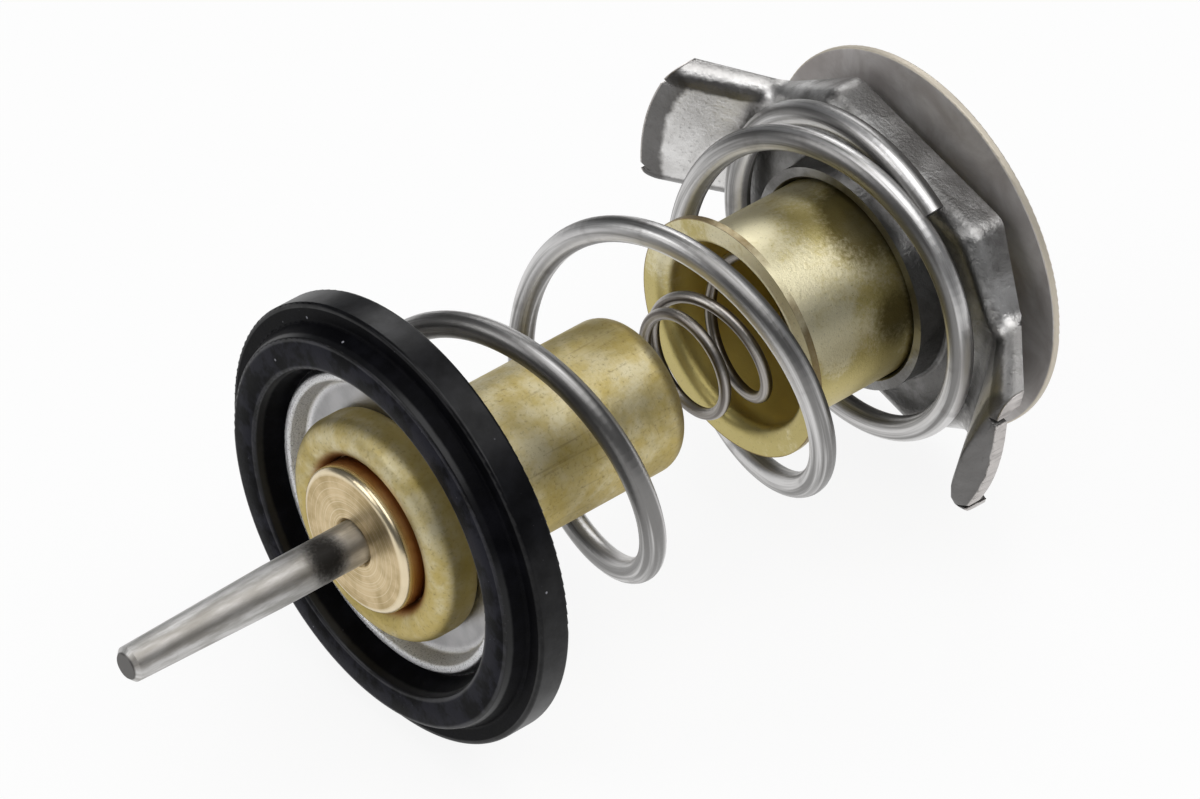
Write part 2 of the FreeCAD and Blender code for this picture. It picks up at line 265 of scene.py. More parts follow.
def groundSteel():
    f = Finish("groundSteel")
    look = rodLook
    cloud = f.noise(f.around(*look["cloudStretch"]), *look["cloudNoise"])
    grinding = f.noise(f.rings(*look["grindingStretch"]), *look["grindingNoise"])
    fine = f.noise(f.place, *look["fineNoise"])
    # the rod's upper side is painted darker and browner, as shade, and it has an oval of soot there
    # just ahead of the guide
    up, side = look["nearSide"]
    facing = f.upness * up - f.sideness * side
    along = (f.x - look["sootPlace"]) / look["sootLength"]
    fineRag, cloudRag = look["sootRag"]
    oval = along * along + (1 - facing) * look["sootNarrowness"]
    soot = (oval + fine.swing(fineRag) + cloud.swing(cloudRag)).ramp(*look["sootSpread"])
    wearAndShade = (facing + cloud.swing(look["shadeRag"])).ramp(*look["shadedSide"])
    colour = f.mix(cloud.ramp(*look["clouds"]), look["bright"], look["shaded"])
    colour = f.mix(fine.ramp(*look["fineSpots"]), colour, look["shaded"])
    # painted shade: darker and browner on the upper side
    colour = f.mix(wearAndShade, colour, look["wearAndShade"])
    colour = f.mix(soot * look["sootShare"], colour, look["soot"])
    colour = f.mix(f.x.ramp(*look["endPlaces"]), colour, look["endFace"])
    return f.give(colour=colour, metallic=1.0, roughness=weighed(look["roughness"], cloud, soot),
                  normal=f.bump(grinding, look["depth"]))


bronzeLook = {
    "colour": (0.64, 0.50, 0.29),
    "dull": (0.42, 0.31, 0.14),
    "light": (0.86, 0.75, 0.54),
    "side": (0.42, 0.22, 0.09),
    "cloudNoise": (0.45, 4),
    "grooveNoise": (5.5, 3),
    "clouds": (0.35, 0.7),
    "grooves": (0.48, 0.70, 0.5),
    "edgeRadii": (6.6, 6.85),
    "edgeHighlightShare": 0.7,
    "grooveReflectionRadii": (7.25, 7.29),
    "grooveReflectionPlaces": (-3.0, -2.5, 0.8),
    "roughness": (0.30, 0.14, -0.08),
    "depth": 0.016,
}


def turnedBronze():
    f = Finish("turnedBronze")
    look = bronzeLook
    cloud = f.noise(f.place, *look["cloudNoise"])
    grooves = f.noise(f.vector(f.radius, f.x, 0.0), *look["grooveNoise"])
    # the rounded rim of the face is painted lighter all round, a painted highlight
    edge = f.radius.ramp(*look["edgeRadii"])
    # the boss's side down in the groove by the head is painted dark copper, a painted reflection of
    # the brass around it
    side = f.radius.ramp(*look["grooveReflectionRadii"]) * f.x.ramp(*look["grooveReflectionPlaces"])
    colour = f.mix(cloud.ramp(*look["clouds"]), look["colour"], look["dull"])
    colour = f.mix(grooves.ramp(*look["grooves"]), colour, look["light"])
    colour = f.mix(edge * look["edgeHighlightShare"], colour, look["light"])
    colour = f.mix(side, colour, look["side"])
    return f.give(colour=colour, metallic=1.0, roughness=weighed(look["roughness"], grooves, edge),
                  normal=f.bump(grooves, look["depth"]))


caseLook = {
    "pale": (0.68, 0.615, 0.41),
    "golden": (0.56, 0.45, 0.17),
    "olive": (0.38, 0.295, 0.08),
    "stain": (0.17, 0.115, 0.04),
    "copperReflection": (0.36, 0.16, 0.06),
    "mottleNoise": (0.42, 5, 0.62),
    "patchNoise": (0.17, 3, 0.5, 0.6),
    "grainNoise": (3.0, 3, 0.6),
    "lineStretch": (0.10, 15),
    "lineNoise": (1.0, 3, 0.6),
    "scratchStretch": (0.9, 2.2),
    "scratchNoise": (1.0, 6, 0.72, 1.2),
    "bodyPlaces": (2, 6),
    "shadedUnderside": (0.6, -0.6, 0.18),
    "mottles": (0.30, 0.74),
    "patches": (0.46, 0.68, 0.6),
    "grains": (0.52, 0.80, 0.5),
    "lines": (0.58, 0.74, 0.35),
    "scratches": (0.60, 0.76, 0.4),
    "endRim": (28.9, 0.9, 0.35),
    "headRadii": (10.6, 11.15, 0.65),
    "headPlaces": (-1.2, 0.8),
    "lipRadii": (8.5, 7.5, 0.85),
    "lipPlaces": (0.5, -0.2),
    "roughness": (0.44, 0.12, 0.10),
    "height": (0, 0.5, 0.4, 0.6),
    "depth": 0.05,
}


def drawnBrass():
    f = Finish("drawnBrass")
    look = caseLook
    mottle = f.noise(f.place, *look["mottleNoise"])
    patches = f.noise(f.place, *look["patchNoise"])
    grain = f.noise(f.place, *look["grainNoise"])
    drawLines = f.noise(f.around(*look["lineStretch"]), *look["lineNoise"])
    scratches = f.noise(f.around(*look["scratchStretch"]), *look["scratchNoise"])
    body = f.x.ramp(*look["bodyPlaces"])
    # the outer side of the head is painted olive, as shade
    headSideShade = f.radius.ramp(*look["headRadii"]) * f.x.ramp(*look["headPlaces"])
    # the lip round the guide, down in the groove, is painted copper, a painted reflection of the
    # brass around it
    lip = f.radius.ramp(*look["lipRadii"]) * f.x.ramp(*look["lipPlaces"])
    # painted shade: the underside is more golden and darker, the top paler
    undersideShade = f.upness.ramp(*look["shadedUnderside"])
    colour = f.mix((mottle + undersideShade).ramp(*look["mottles"]), look["pale"], look["golden"])
    colour = f.mix(patches.ramp(*look["patches"]), colour, look["olive"])
    colour = f.mix(grain.ramp(*look["grains"]), colour, look["stain"])
    colour = f.mix(drawLines.ramp(*look["lines"]) * body, colour, look["stain"])
    colour = f.mix(scratches.ramp(*look["scratches"]) * body, colour, look["stain"])
    colour = f.mix(f.x.band(*look["endRim"]), colour, look["stain"])
    colour = f.mix(headSideShade, colour, look["olive"])
    colour = f.mix(lip, colour, look["copperReflection"])
    height = weighed(look["height"], drawLines * body, grain, mottle)
    return f.give(colour=colour, metallic=1.0, roughness=weighed(look["roughness"], mottle, grain),
                  normal=f.bump(height, look["depth"]))


cupLook = {
    "pale": (0.76, 0.70, 0.48),
    "olive": (0.52, 0.43, 0.14),
    "dark": (0.12, 0.095, 0.030),
    "inside": (0.86, 0.70, 0.20),
    "edge": (0.19, 0.12, 0.045),
    "cloudNoise": (0.13, 5, 0.62),
    "grainNoise": (2.4, 4, 0.7),
    "fineNoise": (6.0, 2),
    "pitNoise": (4.5, 2, 0.7),
    # the middle of each tarnished blotch, and its reach
    "blotches": {
        (53.6, -4.6, 8.9): 6.5,
        (55.4, -1.2, 9.9): 5.5,
        (53.6, -9.6, 2.2): 5.0,
        (58.0, -6.0, 7.8): 4.0,
        (50.0, 8.0, -5.5): 6.0,
    },
    "leastTarnish": 0.45,
    "tarnishGrain": 1.1,
    "tarnishSpread": (0.05, 0.85),
    "tarnishShare": 0.9,
    "shadedUnderside": (0.4, -0.5, 0.24),
    "rearPlaces": (46, 62, 0.10),
    "dullGrain": 0.3,
    "dulledAndShaded": (0.42, 0.66, 0.85),
    "pits": (0.60, 0.72, 0.35),
    "insideRadii": (9.75, 9.55),
    "insidePlaces": (42.0, 44.5),
    "insideShare": 0.85,
    "edgeRadii": (12.05, 12.15),
    "edgeClouds": (0.25, 0.5, 0.8),
    "metallic": (1.0, -0.35),
    "roughness": (0.35, 0.14, 0.1, 0.08),
    "height": (0, 1, 0.4),
    "depth": 0.03,
}


def tarnishedBrass():
    f = Finish("tarnishedBrass")
    look = cupLook
    clouds = f.noise(f.place, *look["cloudNoise"])
    grain = f.noise(f.place, *look["grainNoise"])
    fine = f.noise(f.place, *look["fineNoise"])
    pits = f.noise(f.place, *look["pitNoise"])
    blotch = 0.0
    for spot, reach in look["blotches"].items():
        blotch = blotch + f.near(spot, reach)
    tarnish = blotch * (look["leastTarnish"] + clouds) + grain.swing(look["tarnishGrain"]) * blotch
    tarnish = tarnish.ramp(*look["tarnishSpread"])
    # darker olive in random clouds and towards the rear, with painted shade on the underside
    dulledAndShaded = clouds + f.x.ramp(*look["rearPlaces"]) + f.upness.ramp(*look["shadedUnderside"])
    dulledAndShaded = (dulledAndShaded + grain.swing(look["dullGrain"])).ramp(*look["dulledAndShaded"])
    within = f.radius.ramp(*look["insideRadii"]) * f.x.ramp(*look["insidePlaces"])
    edge = f.radius.ramp(*look["edgeRadii"]) * clouds.ramp(*look["edgeClouds"])
    colour = f.mix(dulledAndShaded, look["pale"], look["olive"])
    colour = f.mix(tarnish * look["tarnishShare"], colour, look["dark"])
    colour = f.mix(pits.ramp(*look["pits"]), colour, look["dark"])
    colour = f.mix(within * look["insideShare"], colour, look["inside"])
    colour = f.mix(edge, colour, look["edge"])
    return f.give(colour=colour, metallic=weighed(look["metallic"], within),
                  roughness=weighed(look["roughness"], grain, tarnish, within),
                  normal=f.bump(weighed(look["height"], grain, fine), look["depth"]))


mainWireColours = {
    "bright": (0.72, 0.71, 0.705),
    "dull": (0.23, 0.225, 0.22),
    "scale": (0.09, 0.08, 0.075),
}
# the same wire finish as the main spring's, in darker colours that paint the shade it lies in
bypassWireShadedColours = {
    "bright": (0.44, 0.415, 0.39),
    "dull": (0.17, 0.152, 0.138),
    "scale": (0.07, 0.06, 0.052),
}
wireLook = {
    "streakStretch": (0.018, 0.80, 0.80),
    "streakNoise": (1.0, 4, 0.6),
    "lineStretch": (0.12, 9.0, 9.0),
    "lineNoise": (1.0, 2),
    "grainNoise": (5.0, 3, 0.6),
    "smudgeNoise": (0.28, 4),
    "streaks": (0.42, 0.58),
    "smudges": (0.56, 0.78, 0.4),
    "lines": (0.58, 0.75, 0.15),
    "roughness": (0.29, 0.12, 0.06),
    "height": (0, 0.8, 0.4),
    "depth": 0.010,
}


def drawnWire(name, colours):
    # the wire's own coordinates: mm along it, then the way round it as a point on a unit circle
    f = Finish(name)
    look = wireLook
    run = f.add("ShaderNodeAttribute", {"attribute_name": "wireRun"}, output="Vector")
    streaks = f.noise(f.stretched(run, look["streakStretch"]), *look["streakNoise"])
    drawLines = f.noise(f.stretched(run, look["lineStretch"]), *look["lineNoise"])
    grain = f.noise(f.place, *look["grainNoise"])
    smudge = f.noise(f.place, *look["smudgeNoise"])
    colour = f.mix(streaks.ramp(*look["streaks"]), colours["bright"], colours["dull"])
    colour = f.mix(smudge.ramp(*look["smudges"]), colour, colours["scale"])
    colour = f.mix(drawLines.ramp(*look["lines"]), colour, colours["scale"])
    return f.give(colour=colour, metallic=1.0, roughness=weighed(look["roughness"], grain, streaks),
                  normal=f.bump(weighed(look["height"], drawLines, grain), look["depth"]))


frameLook = {
    "bright": (0.80, 0.79, 0.78),
    "dull": (0.34, 0.33, 0.32),
    "shearedAndShade": (0.085, 0.081, 0.078),
    "cutEnd": (0.60, 0.565, 0.545),
    "floor": (0.10, 0.098, 0.095),
    "cloudNoise": (0.22, 5, 0.6, 0.4),
    "grainNoise": (3.0, 4, 0.65),
    "raggedNoise": (0.9, 3),
    "tearStretch": (0.4, 3),
    "tearNoise": (1.0, 3),
    "scratchStretch": (2.5, 0.5, 1.6),
    "scratchNoise": (1.0, 4, 0.65),
    "widerBandSide": (1, -1),
    "widerBy": 1.0,
    "bandRag": 0.8,
    "bandRadii": (22.85, 23.45),
    "bandPlaceRag": 0.6,
    "bandPlaces": (54.1, 53.3),
    "bandShare": 0.85,
    "endRadii": (25.0, 25.15),
    "endShare": 0.85,
    "floorRadii": (18.0, 16.5),
    "floorPlaces": (56.0, 58.3),
    "collarRadii": (12.0, 11.6),
    "floorShadeShare": 0.75,
    "earRadii": (17.5, 19.5),
    "earCleanness": 0.65,
    "acrossRag": 0.5,
    "fold": (6.9, 1.1),
    "foldSpread": (0.1, 0.6, 0.75),
    "flangeSide": (7.6, 8.1, 0.75),
    "clouds": (0.38, 0.62),
    "scratches": (0.56, 0.74, 0.4),
    "grains": (0.60, 0.80, 0.35),
    "tears": (0.5, 0.7, 0.35),
    "roughness": (0.28, 0.14, 0.14),
    "height": (0, 0.6, 1.6, 0.5, 2, 0.8),
    "depth": 0.08,
}


def stampedSteel():
    f = Finish("stampedSteel")
    look = frameLook
    cloud = f.noise(f.place, *look["cloudNoise"])
    grain = f.noise(f.place, *look["grainNoise"])
    ragged = f.noise(f.place, *look["raggedNoise"])
    along, sideways = look["tearStretch"]
    tear = f.noise(f.vector(f.x * along, f.y * sideways, f.z * sideways), *look["tearNoise"])
    # the scratches run askew over the floor and the ears
    along, coarse, fine = look["scratchStretch"]
    askew = f.vector(f.x * along, f.y * coarse + f.z * fine, f.z * coarse - f.y * fine)
    scratches = f.noise(askew, *look["scratchNoise"])
    # a dark band of painted shade before the end of each ear, the wider one on the -Y side
    band = f.radius + ragged.swing(look["bandRag"])
    band = (band + f.y.ramp(*look["widerBandSide"]) * look["widerBy"]).ramp(*look["bandRadii"])
    band = band * (f.x + ragged.swing(look["bandPlaceRag"])).ramp(*look["bandPlaces"])
    end = f.radius.ramp(*look["endRadii"])
    # the frame's floor and the collar round the cup are painted almost black, the shade deep under
    # the springs and the cup
    floor = f.radius.ramp(*look["floorRadii"]) * f.x.ramp(*look["floorPlaces"])
    collar = f.radius.ramp(*look["collarRadii"])
    # the ears are cleaner than the floor; a dark line of painted shade runs along the fold of each
    # flange, and the flanges themselves are painted darker, as shade
    tilt = math.radians(earTilt)
    across = f.z * math.cos(tilt) - f.y * math.sin(tilt)
    across = (across + ragged.swing(look["acrossRag"])).abs()
    ear = f.radius.ramp(*look["earRadii"])
    fold = across.band(*look["fold"]) * ear
    flange = across.ramp(*look["flangeSide"]) * ear
    cloudy = cloud.ramp(*look["clouds"]) * (1 - ear * look["earCleanness"])
    colour = f.mix(cloudy, look["bright"], look["dull"])
    colour = f.mix(flange, colour, look["dull"])
    colour = f.mix(fold.ramp(*look["foldSpread"]), colour, look["shearedAndShade"])
    colour = f.mix(scratches.ramp(*look["scratches"]), colour, look["shearedAndShade"])
    colour = f.mix(grain.ramp(*look["grains"]), colour, look["shearedAndShade"])
    colour = f.mix(floor.top(collar) * look["floorShadeShare"], colour, look["floor"])
    colour = f.mix(band * (1 - end) * look["bandShare"], colour, look["shearedAndShade"])
    colour = f.mix(end * look["endShare"], colour, look["cutEnd"])
    colour = f.mix(end * tear.ramp(*look["tears"]), colour, look["shearedAndShade"])
    height = weighed(look["height"], grain, cloud, scratches, tear * end, ragged * band)
    return f.give(colour=colour, metallic=1.0, roughness=weighed(look["roughness"], cloud, band),
                  normal=f.bump(height, look["depth"]))


discLook = {
    "grey": (0.66, 0.64, 0.63),
    "brown": (0.44, 0.405, 0.39),
    "rim": (0.66, 0.60, 0.50),
    "cloudNoise": (0.16, 5, 0.6, 0.5),
    "grainNoise": (2.8, 4, 0.7),
    "smearStretch": (1, 0.15, 1.2),
    "smearNoise": (1.0, 4),
    "clouds": (0.3, 0.7),
    "smears": (0.5, 0.8, 0.3),
    "grains": (0.60, 0.80, 0.25),
    "rimRadii": (19.52, 19.62),
    "metallic": 0.6,
    "roughness": (0.42, 0.16),
    "height": (0, 0.5, 1),
    "depth": 0.02,
}


def rolledSheet():
    f = Finish("rolledSheet")
    look = discLook
    cloud = f.noise(f.place, *look["cloudNoise"])
    grain = f.noise(f.place, *look["grainNoise"])
    smear = f.noise(f.stretched(f.place, look["smearStretch"]), *look["smearNoise"])
    colour = f.mix(cloud.ramp(*look["clouds"]), look["grey"], look["brown"])
    colour = f.mix(smear.ramp(*look["smears"]), colour, look["brown"])
    colour = f.mix(grain.ramp(*look["grains"]), colour, look["brown"])
    # the rim's edge is painted lighter and warmer, a painted highlight
    colour = f.mix(f.radius.ramp(*look["rimRadii"]), colour, look["rim"])
    return f.give(colour=colour, metallic=look["metallic"],
                  roughness=weighed(look["roughness"], grain),
                  normal=f.bump(weighed(look["height"], grain, smear), look["depth"]))


plateLook = {
    "bright": (0.47, 0.465, 0.47),
    "dull": (0.35, 0.345, 0.35),
    "speck": (0.10, 0.10, 0.11),
    "peenedAndHighlight": (0.88, 0.88, 0.89),
    "grainNoise": (6.0, 3, 0.7),
    "cloudNoise": (0.3, 3),
    "clouds": (0.35, 0.7),
    "bead": (14.5, 2.2),
    "peening": (0.15, 0.7),
    "specks": (0.50, 0.72, 0.75),
    "leastHeight": 0.25,
    "roughness": (0.27, 0.2),
    "depth": 0.08,
}


def pressedSheet():
    f = Finish("pressedSheet")
    look = plateLook
    grain = f.noise(f.place, *look["grainNoise"])
    cloud = f.noise(f.place, *look["cloudNoise"])
    peenedAndHighlight = f.radius.band(*look["bead"])
    colour = f.mix(cloud.ramp(*look["clouds"]), look["bright"], look["dull"])
    # the bead is painted much lighter, a painted highlight over its real peened grain and specks
    colour = f.mix(peenedAndHighlight.ramp(*look["peening"]), colour, look["peenedAndHighlight"])
    colour = f.mix(grain.ramp(*look["specks"]) * peenedAndHighlight, colour, look["speck"])
    return f.give(colour=colour, metallic=1.0, roughness=weighed(look["roughness"], grain),
                  normal=f.bump(grain * (look["leastHeight"] + peenedAndHighlight), look["depth"]))


rubberLook = {
    "black": (0.0028, 0.0028, 0.0036),
    "wearAndShade": (0.0060, 0.0060, 0.0080),
    "ringSheen": (0.022, 0.022, 0.030),
    "dust": (0.30, 0.30, 0.33),
    "cloudNoise": (0.4, 4, 0.6),
    "grainNoise": (5.0, 3, 0.6),
    "dustSpecks": (0.42, 0.07),
    "dustNoise": (0.3, 1),
    "dustPatches": (0.52, 0.6),
    "fineSpecks": (1.5, 0.08),
    "fineNoise": (0.5, 2),
    "finePatches": (0.55, 0.65),
    "fineShare": 0.4,
    "wornClouds": (0.4, 0.75),
    "ringSheenClouds": (0.40, 0.60, 0.8),
    # the raised ring, with its spreads in halves of its width
    "ringMiddle": 17.9,
    "ringHalf": 1.5,
    "ringSpread": (1.05, 0.95),
    "ringPlaces": (-1.0, -1.6),
    "edgeInside": (0.6, 1.0),
    "edgeOutside": (1.25, 1.1),
    "rimRadii": (21.4, 21.6, 0.7),
    "leastShine": 0.6,
    "shineSpread": (0.2, 1.0),
    "grainHeight": 0.5,
    "height": 0.03,
    "crown": 0.24,
    "depth": 1.0,
    "roughness": (0.32, 0.14, 0.08, 0.3),
    "specular": 0.030,
    "coat": 0.50,
    "coatRoughness": 0.28,
}


def mouldedRubber():
    f = Finish("mouldedRubber")
    look = rubberLook
    cloud = f.noise(f.place, *look["cloudNoise"])
    grain = f.noise(f.place, *look["grainNoise"])
    dustPatches = f.noise(f.place, *look["dustNoise"]).ramp(*look["dustPatches"])
    finePatches = f.noise(f.place, *look["fineNoise"]).ramp(*look["finePatches"])
    dust = f.specks(f.place, *look["dustSpecks"]) * dustPatches
    fineDust = f.specks(f.place, *look["fineSpecks"]) * finePatches
    dusty = dust.top(fineDust * look["fineShare"])
    # the raised ring is slightly crowned, and its edges and the rim's side are rubbed shiny
    across = (f.radius - look["ringMiddle"]) / look["ringHalf"]
    edges = across.abs().ramp(*look["edgeInside"]) * across.abs().ramp(*look["edgeOutside"])
    rubbed = edges.top(f.radius.ramp(*look["rimRadii"]))
    shiny = (rubbed * (look["leastShine"] + cloud)).ramp(*look["shineSpread"])
    ring = across.abs().ramp(*look["ringSpread"]) * f.x.ramp(*look["ringPlaces"])
    height = (grain * look["grainHeight"] + cloud) * look["height"]
    height = height - across * across * ring * look["crown"]
    colour = f.mix(cloud.ramp(*look["wornClouds"]), look["black"], look["wearAndShade"])
    # a painted sheen in soft clouds over the raised ring
    colour = f.mix(ring * cloud.ramp(*look["ringSheenClouds"]), colour, look["ringSheen"])
    colour = f.mix(dusty, colour, look["dust"])
    return f.give(colour=colour, roughness=weighed(look["roughness"], cloud, grain, dusty),
                  specular=look["specular"], coat=shiny * look["coat"],
                  coatRoughness=look["coatRoughness"], normal=f.bump(height, look["depth"]))


plainLook = {
    "cloudNoise": (0.6, 4),
    "grainNoise": (4.2, 2),
    "clouds": (0.35, 0.7),
    "grainRoughness": 0.1,
    "depth": 0.01,
}


def plainFinish(name, colour, darker, metallic, roughness):
    # for the small pieces that hardly show
    f = Finish(name)
    look = plainLook
    cloud = f.noise(f.place, *look["cloudNoise"])
    grain = f.noise(f.place, *look["grainNoise"])
    mixed = f.mix(cloud.ramp(*look["clouds"]), colour, darker)
    return f.give(colour=mixed, metallic=metallic,
                  roughness=weighed((roughness, look["grainRoughness"]), grain),
                  normal=f.bump(grain, look["depth"]))


finishes = {
    "rod": groundSteel(),
    "guide": turnedBronze(),
    "case": drawnBrass(),
    "cup": tarnishedBrass(),
    "mainWire": drawnWire("mainWire", mainWireColours),
    "bypassWire": drawnWire("bypassWire", bypassWireShadedColours),
    "frame": stampedSteel(),
    "disc": rolledSheet(),
    "plate": pressedSheet(),
    "seal": mouldedRubber(),
    "rivet": plainFinish("headedSteel", colour=(0.5, 0.48, 0.46), darker=(0.33, 0.31, 0.3),
                         metallic=1.0, roughness=0.3),
    "boot": plainFinish("bootRubber", colour=(0.012, 0.012, 0.013), darker=(0.03, 0.03, 0.03),
                        metallic=0.0, roughness=0.5),
    "washer": plainFinish("washerPlastic", colour=(0.75, 0.75, 0.72), darker=(0.6, 0.6, 0.58),
                          metallic=0.0, roughness=0.4),
    "wax": plainFinish("waxFill", colour=(0.62, 0.5, 0.36), darker=(0.5, 0.38, 0.25),
                       metallic=0.0, roughness=0.5),
}
print("finishes made")

cadFinishes = {
    "piston_rod": "rod",
    "guide_boss": "guide",
    "rod_washer": "washer",
    "rubber_boot": "boot",
    "wax_charge": "wax",
    "element_case": "case",
    "valve_plate": "plate",
    "valve_seal": "seal",
    "main_spring": "mainWire",
    "bypass_spring": "bypassWire",
    "retainer_frame": "frame",
    "bypass_cup": "cup",
    "bypass_disc": "disc",
    "disc_rivet": "rivet",
}
for node, finish in cadFinishes.items():
    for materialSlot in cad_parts[node].material_slots:
        materialSlot.material = finishes[finish]
print("CAD nodes dressed")


# reaches are out from the axis, and sides are across the ear, both in mm
bentEar = {
    "floorPlace": 58.5,
    "root": 17.5,
    "knee": 23.15,
    "reach": 25.2,
    "pushed": 2.9,
    "leftAtTip": 0.15,
    "middle": -0.8,
    "halfWidth": 9.2,
    "sideFade": 0.75,
    "cutFrom": 16.5,
    "reachCuts": (17.5, 20.0, 22.3, 23.15, 24.1),
    "sideCuts": (-7, -5, -3, -1, 1, 3, 5, 6.5),
    "mergeDistance": 1e-6,
    "cutDistance": 1e-7,
    "sharpAngle": 28,
}


def smoothStep(value, low, high):
    share = min(max((value - low) / (high - low), 0), 1)
    return share * share * (3 - 2 * share)


def cutEar(bm, centre, outwards, direction, place):
    # a row of new edges, so that the ear bends there
    e = bentEar
    verts = [v for v in bm.verts if (v.co - centre).dot(outwards) > e["cutFrom"] / perMetre]
    faces = {face for vert in verts for face in vert.link_faces}
    edges = {edge for face in faces for edge in face.edges}
    corners = {vert for face in faces for vert in face.verts}
    bmesh.ops.bisect_plane(bm, geom=[*corners, *edges, *faces], dist=e["cutDistance"],
                           plane_co=centre + direction * place / perMetre, plane_no=direction)


def makeFrame():
    # the stamped frame, with the ear on the -Y side pushed further forward than the other one
    e = bentEar
    tilt = math.radians(earTilt)
    outwards = Vector((0, -math.cos(tilt), -math.sin(tilt)))
    across = Vector((0, -math.sin(tilt), math.cos(tilt)))
    centre = at(e["floorPlace"], 0)
    bm = bmesh.new()
    bm.from_mesh(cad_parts["retainer_frame"].data)
    bmesh.ops.remove_doubles(bm, verts=bm.verts[:], dist=e["mergeDistance"])
    for place in e["reachCuts"]:
        cutEar(bm, centre, outwards, outwards, place)
    for place in e["sideCuts"]:
        cutEar(bm, centre, outwards, across, place)
    for vert in bm.verts:
        reach = (vert.co - centre).dot(outwards) * perMetre
        side = (vert.co - centre).dot(across) * perMetre
        if reach <= e["root"]:
            continue
        rise = (reach - e["root"]) / (e["knee"] - e["root"])
        fall = smoothStep(reach, e["knee"], e["reach"])
        push = e["pushed"] * min(rise, 1) - (e["pushed"] - e["leftAtTip"]) * fall
        off = abs(side - e["middle"]) / e["halfWidth"]
        push *= smoothStep(1 - off, 0, e["sideFade"])
        vert.co.x -= push / perMetre
    bent = finishMesh("bentFrame", bm, finishes["frame"], "frame", e["sharpAngle"])
    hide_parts("retainer_frame")
    evened = bent.modifiers.new("evenedShading", "WEIGHTED_NORMAL")
    evened.keep_sharp = True


makeFrame()
print("frame bent")


# wire is its radius, travel is how much the spring shortens when the valve is open, lead and
# pitch are mm a turn in the closed ends and between them, and blend is in turns
mainSpring = {
    "wire": 1.25,
    "rearPlace": 57.20,
    "frontPlace": 4.40,
    "rearRadius": 16.47,
    "radiusDrop": 0.61,
    "pitch": 20.2,
    "lead": 1.3,
    "closedTurns": 0.91,
    "startTurn": 0.13,
    "startAngle": -1.49,
    "blend": 0.12,
    "travel": 10.0,
    "sides": 28,
    "stepsPerTurn": 120,
}

bypassSpring = {
    "wire": 0.58,
    "rearPlace": 63.07,
    "frontPlace": 35.2,
    "frontRadius": 4.93,
    "rearRadius": 7.7,
    "pitch": 8.95,
    "lead": 1.68,
    "closedTurns": 1.13,
    "startAngle": 2.24,
    "blend": 0.12,
    "travel": 5.65,
    "sides": 18,
    "stepsPerTurn": 72,
}

wireSharpAngle = 50   # degrees, so that only the cut ends are sharp


def climbed(turn, firstRise, lastRise, spring):
    # mm along the axis after some turns, with the open turns from firstRise to lastRise
    def since(start):
        gone = max(turn - start, 0)
        return gone - spring["blend"] * (1 - math.exp(-gone / spring["blend"]))
    openPart = since(firstRise) - since(lastRise)
    return spring["lead"] * turn + (spring["pitch"] - spring["lead"]) * openPart


def openTurns(spring):
    span = spring["rearPlace"] - spring["frontPlace"]
    return (span - 2 * spring["lead"] * spring["closedTurns"]) / spring["pitch"]


def noteRun(verts, layer, point, run, wireRadius):
    # where each corner of a ring of wire lies, along the wire and round it
    outwards = Vector((0, point.y, point.z - axisHeight)).normalized()
    for vert in verts:
        away = (vert.co - point) / (wireRadius / perMetre)
        vert[layer] = (run, away.dot(outwards), away.x)


def wireMesh(points, wireRadius, sides):
    # a ring of wire, extruded from point to point
    bm = bmesh.new()
    layer = bm.verts.layers.float_vector.new("wireRun")
    heading = (points[1] - points[0]).normalized()
    turn = heading.to_track_quat("Z", "Y").to_matrix().to_4x4()
    ring = bmesh.ops.create_circle(bm, cap_ends=True, segments=sides, radius=wireRadius / perMetre,
                                   matrix=Matrix.Translation(points[0]) @ turn)
    face = ring["verts"][0].link_faces[0]
    noteRun(face.verts, layer, points[0], 0.0, wireRadius)
    run = 0.0
    for i in range(1, len(points)):
        before = heading
        ahead = points[min(i + 1, len(points) - 1)] - points[i - 1]
        heading = ahead.normalized()
        run += (points[i] - points[i - 1]).length * perMetre
        made = bmesh.ops.extrude_face_region(bm, geom=[face], use_keep_orig=(i == 1))
        face = [item for item in made["geom"] if isinstance(item, bmesh.types.BMFace)][0]
        bmesh.ops.translate(bm, verts=face.verts[:], vec=points[i] - points[i - 1])
        swing = before.rotation_difference(heading).to_matrix()
        bmesh.ops.rotate(bm, verts=face.verts[:], cent=points[i], matrix=swing)
        noteRun(face.verts, layer, points[i], run, wireRadius)
    bmesh.ops.recalc_face_normals(bm, faces=bm.faces[:])
    return bm


def placeSpring(name, points, spring, finish, body, node):
    bm = wireMesh(points, spring["wire"], spring["sides"])
    piece = finishMesh(name, bm, finish, body, wireSharpAngle)
    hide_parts(node)
    rear = spring["rearPlace"] + spring["wire"]
    at(rear, 0)
    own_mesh(piece)


def makeMainSpring():
    # from its rear end forwards
    s = mainSpring
    firstRise = s["startTurn"] + s["closedTurns"]
    lastRise = firstRise + openTurns(s)
    lastTurn = lastRise + s["closedTurns"]
    steps = round((lastTurn - s["startTurn"]) * s["stepsPerTurn"])
    points = []
    for i in range(steps + 1):
        turn = s["startTurn"] + (lastTurn - s["startTurn"]) * i / steps
        rise = climbed(turn, firstRise, lastRise, s) - s["lead"] * s["startTurn"]
        radius = s["rearRadius"] - s["radiusDrop"] * turn
        points.append(at(s["rearPlace"] - rise, radius, s["startAngle"] + 2 * math.pi * turn))
    placeSpring("mainSpringWire", points, s, finishes["mainWire"], "frame", "main_spring")


